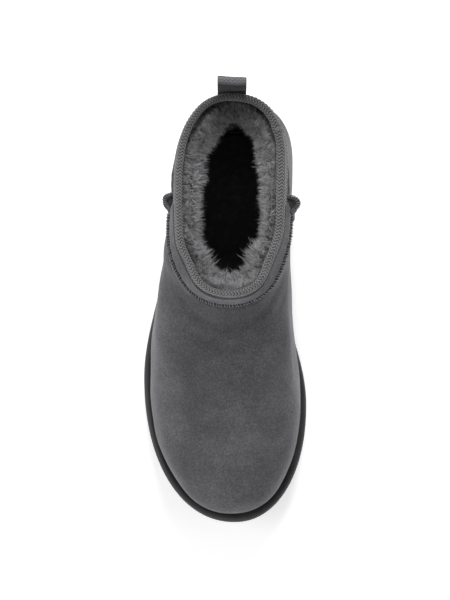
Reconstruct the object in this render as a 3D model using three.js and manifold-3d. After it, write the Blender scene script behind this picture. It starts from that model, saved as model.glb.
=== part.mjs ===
// A low sheepskin boot for the right foot, standing empty on its sole. Millimetres, +Z up.
// The toe points along -Y and the big-toe side is +X. The origin is on the floor, under the middle of the boot.
// Pieces: outsole, insole, upper, collar_binding, pull_loop, two side seams and the collar seam.
import * as THREE from "three";
import { mergeVertices } from "three/addons/utils/BufferGeometryUtils.js";
import Module from "manifold-3d";

// ---------------------------------------------------------------- driving dimensions
const HALF_LENGTH = 130; // of the sole, toe tip to back of heel
const FIT_GAP = 0.3; // between pieces that are sewn or glued together
const RIM_HEIGHT = 20; // sole's top edge above the floor at the ball
const TOE_RISE = 7; // how much higher the top edge is at the toe
const HEEL_RISE = 6; // and at the heel
const TOE_SPRING = 9; // bottom of the sole above the floor at the toe tip
const ARCH_LIFT = 2.5; // bottom of the sole above the floor under the arch
const HEEL_BEVEL = 2.5; // bottom of the sole above the floor at the back edge
const FLAT_FRONT = -68; // the floor contact of the forefoot starts here
const FLAT_ARCH = [-28, 52]; // the sole is off the floor between these
const FLAT_BACK = 112; // the floor contact of the heel ends here
const WALL = 12; // leather and dense fleece together
const LEATHER = 1.8; // folded edge of the leather, where the binding grips it
const INSOLE = 7; // fleece-covered footbed
const SIDE_STEPS = 32; // facets along each side of an outline

// ---------------------------------------------------------------- tables of sections
// Each row is one closed outline: tip and back are its ends, ball its widest points, heel its rear width.
// Lat is the little-toe side and Med the big-toe side. Lift is the height above the sole's top edge at that
// place, nose is the roundness of the front, and pinch scales how far the waist draws in.
const COLUMNS = [
  "tipX", "tipY", "tipLift", "ballLatX", "ballLatY", "ballMedX", "ballMedY",
  "heelLatX", "heelLatY", "heelMedX", "heelMedY", "backX", "backY", "backLift", "nose", "pinch",
];
const rows = (table) => table.map((r) => Object.fromEntries(COLUMNS.map((c, i) => [c, r[i]])));

// The upper's outer face, from the edge that meets the sole (row 0) to the collar (row 10).
const UPPER = rows([
  [5.8, -119.6, 0.3, -42.9, -38, 42.8, -54, -29.8, 64, 37.8, 86, 8.0, 121.5, 0.3, 2.2, 1.0],
  [6.0, -123.2, 10.0, -45.6, -38, 45.2, -54, -32.0, 60, 39.6, 90, 8.3, 125.2, 9.5, 2.25, 1.0],
  [6.0, -123.4, 20.0, -46.0, -38, 45.6, -54, -32.5, 58, 40.4, 90, 8.5, 126.0, 21.0, 2.25, 1.0],
  [5.7, -113.6, 31.5, -44.8, -36, 44.0, -50, -32.3, 58, 40.4, 90, 8.5, 125.3, 34.0, 2.2, 0.95],
  [5.2, -92.6, 43.5, -42.4, -26, 41.0, -36, -31.8, 58, 39.8, 88, 8.0, 123.4, 46.0, 2.1, 0.8],
  [4.6, -67.0, 54.8, -39.8, -6, 38.6, -12, -31.6, 58, 39.2, 86, 7.2, 121.4, 57.0, 2.0, 0.6],
  [4.0, -43.0, 64.5, -37.4, 12, 37.2, 8, -31.4, 59, 38.6, 84, 6.2, 119.4, 67.0, 1.95, 0.4],
  [3.5, -24.0, 73.5, -35.4, 28, 36.6, 25, -31.2, 60, 37.8, 82, 5.3, 117.8, 77.0, 2.0, 0.15],
  [3.0, -9.2, 83.5, -33.4, 38, 36.6, 36, -31.0, 60, 37.2, 80, 4.7, 116.9, 87.5, 2.15, 0],
  [2.7, -2.0, 93.0, -31.3, 42, 36.2, 43, -31.0, 60, 36.4, 80, 4.3, 116.6, 98.0, 2.25, 0],
  [2.4, 1.3, 104.3, -27.2, 42, 32.3, 42, -27.7, 60, 32.9, 79, 4.0, 115.8, 107.5, 2.35, 0],
]);
const COLLAR = UPPER.length - 1; // ring parameter of the top edge
const UPPER_PINCH = { lat: -0.8, med: 2.8 };

// The sole's widest outline. Lifts are not used here.
const [SOLE] = rows([
  [6.0, -HALF_LENGTH, 0, -50.3, -40, 50.5, -57, -32.2, 74, 40.9, 84, 6.5, HALF_LENGTH, 0, 2.13, 1.0],
]);
const SOLE_PINCH = { lat: 1.2, med: 9 };

// The sole's side wall, bottom to top: inset from the widest outline, and height from its bottom or top edge.
const SOLE_WALL = [
  { inset: 4.5, above: "bottom", by: 0 },
  { inset: 1.6, above: "bottom", by: 1.2 },
  { inset: 0.4, above: "bottom", by: 4 },
  { inset: 0, above: "top", by: -7 },
  { inset: 0.5, above: "top", by: -2.6 },
  { inset: 1.9, above: "top", by: -0.7 },
  { inset: 4.2, above: "top", by: 0 },
];

// ---------------------------------------------------------------- small helpers
const clamp01 = (x) => Math.min(1, Math.max(0, x));
const smooth = (x) => clamp01(x) ** 2 * (3 - 2 * clamp01(x));
const lerp = THREE.MathUtils.lerp;
const V = (x, y, z) => new THREE.Vector3(x, y, z);

// Heights of the sole's top edge and of its bottom, along the boot.
const rimZ = (y) => RIM_HEIGHT + TOE_RISE * smooth((-60 - y) / 70) + HEEL_RISE * smooth(y / 120);
function bottomZ(y) {
  const toe = clamp01((FLAT_FRONT - y) / (FLAT_FRONT + HALF_LENGTH));
  const arch = clamp01((y - FLAT_ARCH[0]) / (FLAT_ARCH[1] - FLAT_ARCH[0]));
  const heel = clamp01((y - FLAT_BACK) / (HALF_LENGTH - FLAT_BACK));
  return TOE_SPRING * toe ** 2 + ARCH_LIFT * Math.sin(Math.PI * arch) ** 2 + HEEL_BEVEL * heel ** 2;
}

// A row of a table at a fractional index, on a Catmull-Rom spline through each column.
function rowAt(table, t) {
  const last = table.length - 1;
  const i = Math.min(Math.floor(t), last - 1);
  const f = t - i;
  const row = {};
  for (const c of COLUMNS) {
    const b = table[i][c];
    const d = table[i + 1][c];
    const a = i > 0 ? table[i - 1][c] : 2 * b - d;
    const e = i < last - 1 ? table[i + 2][c] : 2 * d - b;
    row[c] = b + 0.5 * f * (d - a + f * (2 * a - 5 * b + 4 * d - e + f * (3 * (b - d) + e - a)));
  }
  return row;
}

// One side of an outline, from the middle of the back (t 0) to the tip (t 1): rounded heel, waist and nose.
class OutlineSide extends THREE.Curve {
  constructor(row, side, pinch) {
    super();
    const lat = side === "lat";
    Object.assign(this, { row, pinch: pinch[side] * row.pinch * (lat ? 1 : -1) });
    this.ball = lat ? [row.ballLatX, row.ballLatY] : [row.ballMedX, row.ballMedY];
    this.heel = lat ? [row.heelLatX, row.heelLatY] : [row.heelMedX, row.heelMedY];
  }
  getPoint(t, target = new THREE.Vector3()) {
    const { row, ball, heel, pinch } = this;
    const HEEL_END = 0.3;
    const NOSE_START = 0.6;
    const HEEL_ROUND = 2.35;
    let x, y;
    if (t < HEEL_END) {
      const a = (t / HEEL_END) * (Math.PI / 2);
      x = row.backX + (heel[0] - row.backX) * Math.sin(a) ** (2 / HEEL_ROUND);
      y = heel[1] + (row.backY - heel[1]) * Math.max(0, Math.cos(a)) ** (2 / HEEL_ROUND);
    } else if (t < NOSE_START) {
      const m = (t - HEEL_END) / (NOSE_START - HEEL_END);
      x = lerp(heel[0], ball[0], smooth(m)) + pinch * Math.sin(Math.PI * m) ** 2;
      y = lerp(heel[1], ball[1], m);
    } else {
      const a = ((t - NOSE_START) / (1 - NOSE_START)) * (Math.PI / 2);
      x = row.tipX + (ball[0] - row.tipX) * Math.max(0, Math.cos(a)) ** (2 / row.nose);
      y = ball[1] + (row.tipY - ball[1]) * Math.sin(a) ** (2 / row.nose);
    }
    return target.set(x, y, 0);
  }
}

// A closed outline with evenly spaced points: back, lateral side, tip, medial side.
function outline(row, pinch) {
  const lateral = new OutlineSide(row, "lat", pinch).getSpacedPoints(SIDE_STEPS);
  const medial = new OutlineSide(row, "med", pinch).getSpacedPoints(SIDE_STEPS).reverse();
  return [...lateral, ...medial.slice(1, -1)];
}
const POINTS = 2 * SIDE_STEPS; // in every outline

// A ring of the upper's outer face at parameter t, 0 at the sole and COLLAR at the top.
function upperRing(t) {
  const row = rowAt(UPPER, t);
  return outline(row, UPPER_PINCH).map((p) => {
    const along = clamp01((p.y - row.tipY) / (row.backY - row.tipY));
    return V(p.x, p.y, rimZ(p.y) + lerp(row.tipLift, row.backLift, along));
  });
}

// Outward normals of the upper at a ring, by central differences.
function upperNormals(t) {
  const STEP = 0.05;
  const ring = upperRing(t);
  const below = upperRing(Math.max(0, t - STEP));
  const above = upperRing(Math.min(COLLAR, t + STEP));
  return ring.map((p, i) => {
    const round = ring[(i + 1) % POINTS].clone().sub(ring[(i + POINTS - 1) % POINTS]);
    const up = above[i].clone().sub(below[i]);
    return round.cross(up).normalize();
  });
}
const offsetRing = (t, by) => {
  const normals = upperNormals(t);
  return upperRing(t).map((p, i) => p.addScaledVector(normals[i], by));
};

// ---------------------------------------------------------------- turning grids into closed meshes
function meshOf(points, faces) {
  const geometry = new THREE.BufferGeometry().setFromPoints(points);
  geometry.setIndex(faces.flat());
  return geometry;
}
const quad = (a, b, c, d) => [[a, b, c], [a, c, d]];

// Rings joined one to the next. closed joins the last to the first, as in a hollow wall. Otherwise each end
// is capped by strips across from the lateral to the medial side.
function loft(rings, closed) {
  const n = rings[0].length;
  const faces = [];
  const count = closed ? rings.length : rings.length - 1;
  for (let r = 0; r < count; r++) {
    const low = r * n;
    const high = ((r + 1) % rings.length) * n;
    for (let i = 0; i < n; i++) {
      const j = (i + 1) % n;
      faces.push(...quad(low + i, low + j, high + j, high + i));
    }
  }
  if (!closed) {
    const top = (rings.length - 1) * n;
    for (let i = 0; i < n / 2; i++) {
      const j = (n - i) % n;
      const k = n - i - 1;
      const strip = i === 0 ? [[0, 1, k]] : i === n / 2 - 1 ? [[i, i + 1, j]] : quad(i, i + 1, k, j);
      for (const [a, b, c] of strip) faces.push([c, b, a], [top + a, top + b, top + c]);
    }
  }
  return meshOf(rings.flat(), faces);
}

// Equal cross-sections joined along a path. Each end is capped by strips from one side to the other.
function sweep(sections) {
  const n = sections[0].length;
  const faces = [];
  for (let s = 0; s < sections.length - 1; s++)
    for (let i = 0; i < n; i++) {
      const j = (i + 1) % n;
      faces.push(...quad(s * n + i, s * n + j, (s + 1) * n + j, (s + 1) * n + i));
    }
  const end = (sections.length - 1) * n;
  for (let i = 0; i < n / 2 - 1; i++) {
    const j = n - 1 - i;
    faces.push(...quad(i, j, j - 1, i + 1), ...quad(end + i, end + i + 1, end + j - 1, end + j));
  }
  return meshOf(sections.flat(), faces);
}

// ---------------------------------------------------------------- solids for cutting
const wasm = await Module();
wasm.setup();
function solid(geometry) {
  const bare = geometry.clone();
  bare.deleteAttribute("normal");
  bare.deleteAttribute("uv");
  const merged = mergeVertices(bare, 1e-4);
  return new wasm.Manifold(
    new wasm.Mesh({
      numProp: 3,
      vertProperties: new Float32Array(merged.attributes.position.array),
      triVerts: new Uint32Array(merged.index.array),
    }),
  );
}
function geometryOf(manifold) {
  const { vertProperties, triVerts } = manifold.getMesh();
  const geometry = new THREE.BufferGeometry();
  geometry.setAttribute("position", new THREE.BufferAttribute(vertProperties, 3));
  return geometry.setIndex(new THREE.BufferAttribute(triVerts, 1));
}

// ---------------------------------------------------------------- outsole
// The sole's outline drawn in by a distance, in plan.
function soleOutline(inset) {
  const line = outline(SOLE, SOLE_PINCH);
  return line.map((p, i) => {
    const along = line[(i + 1) % POINTS].clone().sub(line[(i + POINTS - 1) % POINTS]).normalize();
    return V(p.x - along.y * inset, p.y + along.x * inset, 0);
  });
}
const soleRing = (inset, height) => soleOutline(inset).map((p) => V(p.x, p.y, height(p.y)));

// Wavy grooves across the tread leave the main lugs. Each is a plan shape cut as deep as the tread layer.
const GROOVE = { width: 3.2, depth: 2.4, wave: 3.5, border: 9 };
const FOREFOOT_GROOVES = { from: -112, to: -22, count: 9 };
const HEEL_GROOVES = { from: 58, to: 114, count: 6 };
function grooveShape(y) {
  const REACH = 60;
  const STEPS = 16;
  const edge = (by) =>
    Array.from({ length: STEPS + 1 }, (_, i) => {
      const x = lerp(-REACH, REACH, i / STEPS);
      return new THREE.Vector2(x, y + GROOVE.wave * Math.cos((x / REACH) * 3 * Math.PI) + by);
    });
  const shape = new THREE.Shape([...edge(-GROOVE.width / 2), ...edge(GROOVE.width / 2).reverse()]);
  const BELOW = 10;
  const block = new THREE.ExtrudeGeometry(shape, { depth: BELOW + 40, bevelEnabled: false });
  return block.translate(0, 0, -BELOW);
}
function outsole() {
  const body = loft(
    SOLE_WALL.map(({ inset, above, by }) =>
      soleRing(inset, (y) => (above === "bottom" ? bottomZ(y) : rimZ(y)) + by)),
    false,
  );
  const treadLayer = solid(loft([
    soleRing(GROOVE.border, (y) => bottomZ(y) - 5),
    soleRing(GROOVE.border, (y) => bottomZ(y) + GROOVE.depth),
  ], false));
  let made = solid(body);
  for (const { from, to, count } of [FOREFOOT_GROOVES, HEEL_GROOVES])
    for (let i = 0; i < count; i++)
      made = made.subtract(solid(grooveShape(lerp(from, to, i / (count - 1)))).intersect(treadLayer));
  return geometryOf(made);
}

// ---------------------------------------------------------------- upper and insole
// The wall is full thickness up to just under the collar, then thins to the bare leather edge.
const wallAt = (t) => lerp(WALL, LEATHER, smooth((t - 8.95) / 0.55));
const RING_PARAMETERS = [
  0, 0.4, 1, 1.6, 2.2, 2.7, 3.1, 3.5, 4, 4.5, 5, 5.5, 6, 6.5, 7, 7.5, 8, 8.5, 9, 9.3, 9.55, 10,
];
const INNER_PARAMETERS = [0, 0.6, 1.3, 2, 2.6, 3.1, 3.7, 4.4, 5.2, 6, 6.8, 7.6, 8.3, 8.9, 9.2, 9.45, 9.7, 10];

// The inside face. At the bottom it stays level with the outer edge, so that the wall has a flat foot.
function innerRing(t, extra = 0) {
  const normals = upperNormals(t);
  return upperRing(t).map((p, i) => {
    const n = t === 0 ? normals[i].setZ(0).normalize() : normals[i];
    return p.addScaledVector(n, -wallAt(t) - extra);
  });
}
function upper() {
  const outside = RING_PARAMETERS.map((t) => upperRing(t));
  const inside = INNER_PARAMETERS.toReversed().map((t) => innerRing(t));
  return loft([...outside, ...inside], true);
}

function insole() {
  const EDGE = 2;
  const level = (extra, height) => innerRing(0, extra).map((p) => V(p.x, p.y, rimZ(p.y) + height));
  return loft([
    level(FIT_GAP, FIT_GAP),
    level(FIT_GAP, INSOLE - EDGE),
    level(FIT_GAP + EDGE, INSOLE),
  ], false);
}

// ---------------------------------------------------------------- collar binding
// A woven tape folded over the leather edge, with a long leg outside and a short one inside.
const TAPE = 0.9;
const CREST = 2; // the fold stands this far above the edge
const OUTER_LEG = [9.55, 10]; // ring parameters, also rings of the upper so that the gap stays even
const INNER_LEG = [10, 9.7];
function binding() {
  const raised = (ring, by) => ring.map((p) => p.clone().setZ(p.z + by));
  const rings = [
    ...OUTER_LEG.map((t) => offsetRing(t, FIT_GAP + TAPE)),
    raised(offsetRing(COLLAR, 0.4), CREST),
    raised(innerRing(COLLAR, 0.4), CREST),
    ...INNER_LEG.map((t) => innerRing(t, FIT_GAP + TAPE)),
    innerRing(INNER_LEG[1], FIT_GAP),
    raised(innerRing(COLLAR, FIT_GAP), FIT_GAP),
    raised(offsetRing(COLLAR, FIT_GAP), FIT_GAP),
    offsetRing(OUTER_LEG[0], FIT_GAP),
  ];
  return loft(rings, true);
}

// ---------------------------------------------------------------- pull loop
// Webbing folded in half. Both layers are sewn flat on the back of the heel, pass behind the binding and open
// above the collar into a loop. The outline is drawn in the YZ plane and made as wide as the webbing.
const LOOP = {
  width: 16.6, tape: 1.4, footZ: 110, sewnZ: 125, neckZ: 134, crownZ: 145.2, middleY: 120.6, radius: 4.2,
};
function pullLoop() {
  const { tape, crownZ, middleY, radius } = LOOP;
  const footY = UPPER[COLLAR - 2].backY + 0.5;
  const neckY = UPPER[COLLAR].backY + 2 * FIT_GAP + TAPE + 0.4;
  const shape = new THREE.Shape();
  shape.moveTo(footY, LOOP.footZ);
  shape.lineTo(footY + 2 * tape, LOOP.footZ);
  shape.lineTo(footY + 2 * tape, LOOP.sewnZ);
  shape.bezierCurveTo(footY + 2 * tape + 0.8, 133, middleY + radius, 138, middleY + radius, crownZ);
  shape.absarc(middleY, crownZ, radius, 0, Math.PI, false);
  shape.lineTo(neckY, LOOP.neckZ);
  shape.lineTo(neckY, LOOP.sewnZ + 3);
  shape.lineTo(footY, LOOP.sewnZ);
  const inner = radius - tape;
  const hole = new THREE.Path();
  hole.moveTo(neckY + tape, LOOP.neckZ + 1);
  hole.bezierCurveTo(neckY + tape + 1, 137, middleY + inner, 140, middleY + inner, crownZ);
  hole.absarc(middleY, crownZ, inner, 0, Math.PI, false);
  shape.holes.push(hole);
  const made = new THREE.ExtrudeGeometry(shape, { depth: LOOP.width, bevelEnabled: false, curveSegments: 8 });
  // The shape's X is the boot's Y and its Y is the boot's Z, so the extrusion runs along the boot's X.
  const turn = new THREE.Matrix4().makeBasis(V(0, 1, 0), V(0, 0, 1), V(1, 0, 0));
  return made.applyMatrix4(turn).translate(UPPER[COLLAR].backX - LOOP.width / 2, 0, 0);
}

// ---------------------------------------------------------------- turned-out seams
// Two leather edges sewn back to back and overlocked stand out from the face as a narrow rib.
const RIB = { half: 1.5, height: 3.8 };
const SIDE_SEAM_Y = 56; // the vertical seams stand here
const COLLAR_SEAM = { ring: 8.95, startGap: 9 };

// The point, normal and fractional index of the upper on one side, at a ring and a given Y.
function pointAtY(t, y, side) {
  const ring = upperRing(t);
  const normals = upperNormals(t);
  const range = [...Array(SIDE_STEPS).keys()].map((i) => (side === "lat" ? i : POINTS - 1 - i));
  for (const i of range) {
    const j = (i + 1) % POINTS;
    const f = (y - ring[i].y) / (ring[j].y - ring[i].y);
    if (f >= 0 && f <= 1)
      return {
        point: ring[i].clone().lerp(ring[j], f),
        normal: normals[i].clone().lerp(normals[j], f).normalize(),
        index: i + f,
      };
  }
  throw new Error(`the upper has no point at y ${y}`);
}
function rib(path) {
  return sweep(path.map(({ point, normal }, i) => {
    const before = path[Math.max(0, i - 1)].point;
    const after = path[Math.min(path.length - 1, i + 1)].point;
    const across = after.clone().sub(before).cross(normal).normalize();
    const out = across.clone().cross(after.clone().sub(before)).normalize();
    if (out.dot(normal) < 0) out.negate();
    const corner = (side, height) =>
      point.clone().addScaledVector(across, side * RIB.half).addScaledVector(out, FIT_GAP + height);
    const shoulder = RIB.height - 1;
    const profile = [[-1, 0], [-1, shoulder], [-0.4, RIB.height], [0.4, RIB.height], [1, shoulder], [1, 0]];
    return profile.map(([side, height]) => corner(side, height));
  }));
}
function sideSeam(side) {
  const STEPS = 18;
  const path = [];
  for (let i = 0; i <= STEPS; i++) path.push(pointAtY(lerp(0.15, 9.1, i / STEPS), SIDE_SEAM_Y, side));
  return rib(path);
}
function collarSeam() {
  const STEPS = 44;
  const start = pointAtY(COLLAR_SEAM.ring, SIDE_SEAM_Y - COLLAR_SEAM.startGap, "lat").index;
  const end = pointAtY(COLLAR_SEAM.ring, SIDE_SEAM_Y - COLLAR_SEAM.startGap, "med").index;
  const ring = upperRing(COLLAR_SEAM.ring);
  const normals = upperNormals(COLLAR_SEAM.ring);
  const path = [];
  for (let i = 0; i <= STEPS; i++) {
    const index = lerp(start, end, i / STEPS);
    const k = Math.floor(index);
    const f = index - k;
    path.push({
      point: ring[k].clone().lerp(ring[k + 1], f),
      normal: normals[k].clone().lerp(normals[k + 1], f).normalize(),
    });
  }
  return rib(path);
}

// ---------------------------------------------------------------- the assembly
const finish = (color, roughness) => new THREE.MeshStandardMaterial({ color, roughness, metalness: 0 });
const FOAM = finish(0x3a3a3c, 0.75);
const SUEDE = finish(0x626164, 0.95);
const FLEECE = finish(0x55555a, 1.0);
const TAPE_GREY = finish(0x757575, 0.85);
const THREAD = finish(0x3e3e40, 0.8);

const boot = new THREE.Group();
function add(name, geometry, material) {
  const mesh = new THREE.Mesh(geometry, material);
  mesh.name = name;
  boot.add(mesh);
}
add("outsole", outsole(), FOAM);
add("insole", insole(), FLEECE);
add("upper", upper(), SUEDE);
add("collar_binding", binding(), TAPE_GREY);
add("pull_loop", pullLoop(), TAPE_GREY);
add("side_seam_lateral", sideSeam("lat"), THREAD);
add("side_seam_medial", sideSeam("med"), THREAD);
add("collar_seam", collarSeam(), THREAD);

export default boot;
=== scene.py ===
# %% [markdown]
# # A low sheepskin boot
# The boot is one sheepskin turned wool side in: napped suede outside, deep fleece inside, on a moulded foam
# sole. Its shape is a stack of closed outlines, from the edge that meets the sole up to the collar, so every
# panel, seam and tuft below is placed on one and the same surface by two numbers: how far up, how far round.
# The model is built round a fixed frame of solids, in metres. Sizes here are written in millimetres.

# %% Load the frame
import math

import bpy
import numpy as np
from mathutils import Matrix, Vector


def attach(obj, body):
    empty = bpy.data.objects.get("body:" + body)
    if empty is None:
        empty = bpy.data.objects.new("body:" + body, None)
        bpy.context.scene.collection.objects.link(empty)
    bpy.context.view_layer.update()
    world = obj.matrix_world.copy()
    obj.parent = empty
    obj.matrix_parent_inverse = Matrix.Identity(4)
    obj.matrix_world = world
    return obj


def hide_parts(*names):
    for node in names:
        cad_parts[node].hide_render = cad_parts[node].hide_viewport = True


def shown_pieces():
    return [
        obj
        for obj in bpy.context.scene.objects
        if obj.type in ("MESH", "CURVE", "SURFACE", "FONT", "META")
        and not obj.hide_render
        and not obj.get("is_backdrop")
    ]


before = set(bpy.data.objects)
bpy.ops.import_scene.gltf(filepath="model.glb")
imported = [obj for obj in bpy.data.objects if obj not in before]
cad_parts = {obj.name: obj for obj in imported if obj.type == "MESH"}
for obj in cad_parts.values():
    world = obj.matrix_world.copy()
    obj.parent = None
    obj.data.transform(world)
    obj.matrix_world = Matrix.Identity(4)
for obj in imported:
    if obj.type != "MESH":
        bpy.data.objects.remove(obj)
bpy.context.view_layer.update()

MM = 0.001
BODY = "root"
print("solids in the frame:", sorted(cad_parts))

# %% [markdown]
# ## Camera, floor and light
# The boot stands on a plain pale floor and is looked at from almost straight above, with the toe towards the
# viewer. A long lens a little over a metre away keeps the perspective gentle. The camera comes first, because
# everything after it is judged through it.

# %% Camera
AIM = Vector((0, 4, 60)) * MM
CAMERA_ELEVATION = math.radians(85)
CAMERA_DISTANCE = 1350 * MM
SENSOR_WIDTH = 36
LENS = 178.8

camera_data = bpy.data.cameras.new("camera")
camera_data.sensor_fit = "HORIZONTAL"
camera_data.sensor_width = SENSOR_WIDTH
camera_data.lens = LENS
camera = bpy.data.objects.new("camera", camera_data)
bpy.context.scene.collection.objects.link(camera)
to_camera = Vector((0, -math.cos(CAMERA_ELEVATION), math.sin(CAMERA_ELEVATION)))
camera.location = AIM + to_camera * CAMERA_DISTANCE
camera.rotation_euler = (math.pi / 2 - CAMERA_ELEVATION, 0, 0)
bpy.context.scene.camera = camera
print("camera at", [round(c, 3) for c in camera.location])

# %% [markdown]
# Every material below is a graph of nodes. One helper adds a node with its settings and links, and one turns
# the colour a maker would read off a chart, an sRGB hex, into the linear value that the shader works in.

# %% Helpers for materials
def linear(hex_colour):
    """The linear RGBA of an sRGB hex colour such as "5a595c"."""
    channels = [int(hex_colour[i : i + 2], 16) / 255 for i in (0, 2, 4)]
    return [c / 12.92 if c <= 0.04045 else ((c + 0.055) / 1.055) ** 2.4 for c in channels] + [1]


def node(tree, kind, links=None, values=None, stops=(), **settings):
    """Adds a node of a kind. links maps its inputs to other nodes' outputs, and values to constants.

    stops are the positions and hex colours of a colour ramp.
    """
    made = tree.nodes.new(kind)
    for key, value in settings.items():
        setattr(made, key, value)
    for key, value in (values or {}).items():
        made.inputs[key].default_value = value
    for key, output in (links or {}).items():
        tree.links.new(output, made.inputs[key])
    while len(stops) > len(made.color_ramp.elements if stops else ()):
        made.color_ramp.elements.new(0.5)
    for element, (position, colour) in zip(made.color_ramp.elements if stops else (), stops):
        element.position = position
        element.color = linear(colour)
    return made


def new_material(name):
    """An empty material with a Principled shader. Returns it with its tree and the shader."""
    material = bpy.data.materials.new(name)
    material.use_nodes = True
    tree = material.node_tree
    tree.nodes.clear()
    shader = node(tree, "ShaderNodeBsdfPrincipled")
    node(tree, "ShaderNodeOutputMaterial", {"Surface": shader.outputs[0]})
    return material, tree, shader


def shaded_along(tree, colour, axis, low_mm, high_mm, at_low, at_high):
    """Multiplies a colour by a value that goes from at_low to at_high along an axis of the object."""
    place = node(tree, "ShaderNodeTexCoord").outputs["Object"]
    split = node(tree, "ShaderNodeSeparateXYZ", {"Vector": place})
    share = node(tree, "ShaderNodeMapRange", {"Value": split.outputs[axis]},
                 {"From Min": low_mm * MM, "From Max": high_mm * MM, "To Min": at_low, "To Max": at_high})
    scaled = node(tree, "ShaderNodeVectorMath", {0: colour, "Scale": share.outputs[0]}, operation="SCALE")
    return scaled.outputs[0]


def grains(size_mm):
    """The noise scale that gives grains of about this size, in a space measured in metres."""
    return 1 / (size_mm * MM)


# %% Floor and lights
FLOOR_SIDE = 6.0

floor_mesh = bpy.data.meshes.new("floor")
half = FLOOR_SIDE / 2
corners = [(-half, -half, 0), (half, -half, 0), (half, half, 0), (-half, half, 0)]
floor_mesh.from_pydata(corners, [], [(0, 1, 2, 3)])
floor = bpy.data.objects.new("floor", floor_mesh)
bpy.context.scene.collection.objects.link(floor)
floor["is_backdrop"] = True

paper, tree, shader = new_material("matt_white_paper")
place = node(tree, "ShaderNodeTexCoord").outputs["Object"]
fibre = node(tree, "ShaderNodeTexNoise", {"Vector": place}, {"Scale": grains(4), "Detail": 3})
white = node(tree, "ShaderNodeValToRGB", {"Fac": fibre.outputs["Fac"]}, stops=[(0, "f4f4f4"), (1, "fafafa")])
tree.links.new(white.outputs["Color"], shader.inputs["Base Color"])
shader.inputs["Roughness"].default_value = 0.9
shader.inputs["Specular IOR Level"].default_value = 0.1
shader.inputs["Emission Color"].default_value = (1, 1, 1, 1)
shader.inputs["Emission Strength"].default_value = 0.4
floor_mesh.materials.append(paper)


def softbox(name, place_mm, size_mm, watts):
    """A square area light aimed at the boot."""
    data = bpy.data.lights.new(name, "AREA")
    data.size = size_mm * MM
    data.energy = watts
    lamp = bpy.data.objects.new(name, data)
    bpy.context.scene.collection.objects.link(lamp)
    lamp.location = Vector(place_mm) * MM
    lamp.rotation_euler = (AIM - lamp.location).to_track_quat("-Z", "Y").to_euler()


softbox("key_behind_heel", (100, 1250, 1250), 600, 22.5)
softbox("side_lateral", (-1300, -100, 600), 900, 9)
softbox("side_medial", (1300, -100, 600), 900, 3)
softbox("toe_fill", (-100, -1300, 800), 900, 8.5)

world = bpy.data.worlds.new("studio")
bpy.context.scene.world = world
world.use_nodes = True
world.node_tree.nodes.clear()
sky = node(world.node_tree, "ShaderNodeBackground", values={"Color": (1, 1, 1, 1), "Strength": 0.23})
node(world.node_tree, "ShaderNodeOutputWorld", {"Surface": sky.outputs[0]})
bpy.context.scene.view_settings.view_transform = "Standard"
bpy.context.scene.view_settings.look = "None"

# %% [markdown]
# ## The surface of the boot
# A boot is made over a last, so its outside is one smooth skin. Each row of the table is one closed outline
# of that skin: where the tip and the back are, how wide it is at the ball and at the heel. A spline through
# the rows gives an outline at any height. It is the same table as the frame's, so the pieces fit its solids.

# %% Tables and heights, in millimetres
COLUMNS = (
    "tip_x tip_y tip_lift ball_lat_x ball_lat_y ball_med_x ball_med_y heel_lat_x heel_lat_y "
    "heel_med_x heel_med_y back_x back_y back_lift nose pinch"
).split()
UPPER = np.array([
    [5.8, -119.6, 0.3, -42.9, -38, 42.8, -54, -29.8, 64, 37.8, 86, 8.0, 121.5, 0.3, 2.2, 1.0],
    [6.0, -123.2, 10.0, -45.6, -38, 45.2, -54, -32.0, 60, 39.6, 90, 8.3, 125.2, 9.5, 2.25, 1.0],
    [6.0, -123.4, 20.0, -46.0, -38, 45.6, -54, -32.5, 58, 40.4, 90, 8.5, 126.0, 21.0, 2.25, 1.0],
    [5.7, -113.6, 31.5, -44.8, -36, 44.0, -50, -32.3, 58, 40.4, 90, 8.5, 125.3, 34.0, 2.2, 0.95],
    [5.2, -92.6, 43.5, -42.4, -26, 41.0, -36, -31.8, 58, 39.8, 88, 8.0, 123.4, 46.0, 2.1, 0.8],
    [4.6, -67.0, 54.8, -39.8, -6, 38.6, -12, -31.6, 58, 39.2, 86, 7.2, 121.4, 57.0, 2.0, 0.6],
    [4.0, -43.0, 64.5, -37.4, 12, 37.2, 8, -31.4, 59, 38.6, 84, 6.2, 119.4, 67.0, 1.95, 0.4],
    [3.5, -24.0, 73.5, -35.4, 28, 36.6, 25, -31.2, 60, 37.8, 82, 5.3, 117.8, 77.0, 2.0, 0.15],
    [3.0, -9.2, 83.5, -33.4, 38, 36.6, 36, -31.0, 60, 37.2, 80, 4.7, 116.9, 87.5, 2.15, 0],
    [2.7, -2.0, 93.0, -31.3, 42, 36.2, 43, -31.0, 60, 36.4, 80, 4.3, 116.6, 98.0, 2.25, 0],
    [2.4, 1.3, 104.3, -27.2, 42, 32.3, 42, -27.7, 60, 32.9, 79, 4.0, 115.8, 107.5, 2.35, 0],
])
UPPER_PINCH = {"lat": -0.8, "med": -2.8}
HALF_LENGTH = 130
SOLE = np.array([
    6.0, -HALF_LENGTH, 0, -50.3, -40, 50.5, -57, -32.2, 74, 40.9, 84, 6.5, HALF_LENGTH, 0, 2.13, 1.0,
])
SOLE_PINCH = {"lat": 1.2, "med": -9}
COLLAR = len(UPPER) - 1
GAP = 0.3  # between pieces that are sewn or glued together
LEATHER = 1.8
WALL = 12  # leather and dense fleece
RIM_HEIGHT = 20  # the sole's top edge above the floor at the ball
TOE_RISE = 7  # how much higher the top edge is at the toe
HEEL_RISE = 6  # and at the heel
TOE_SPRING = 9  # the underside above the floor at the toe tip
ARCH_LIFT = 2.5  # under the arch
HEEL_BEVEL = 2.5  # and at the back edge
FLAT_FRONT = -68  # the floor contact of the forefoot starts here
FLAT_ARCH = (-28, 52)  # the sole is off the floor between these
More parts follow.
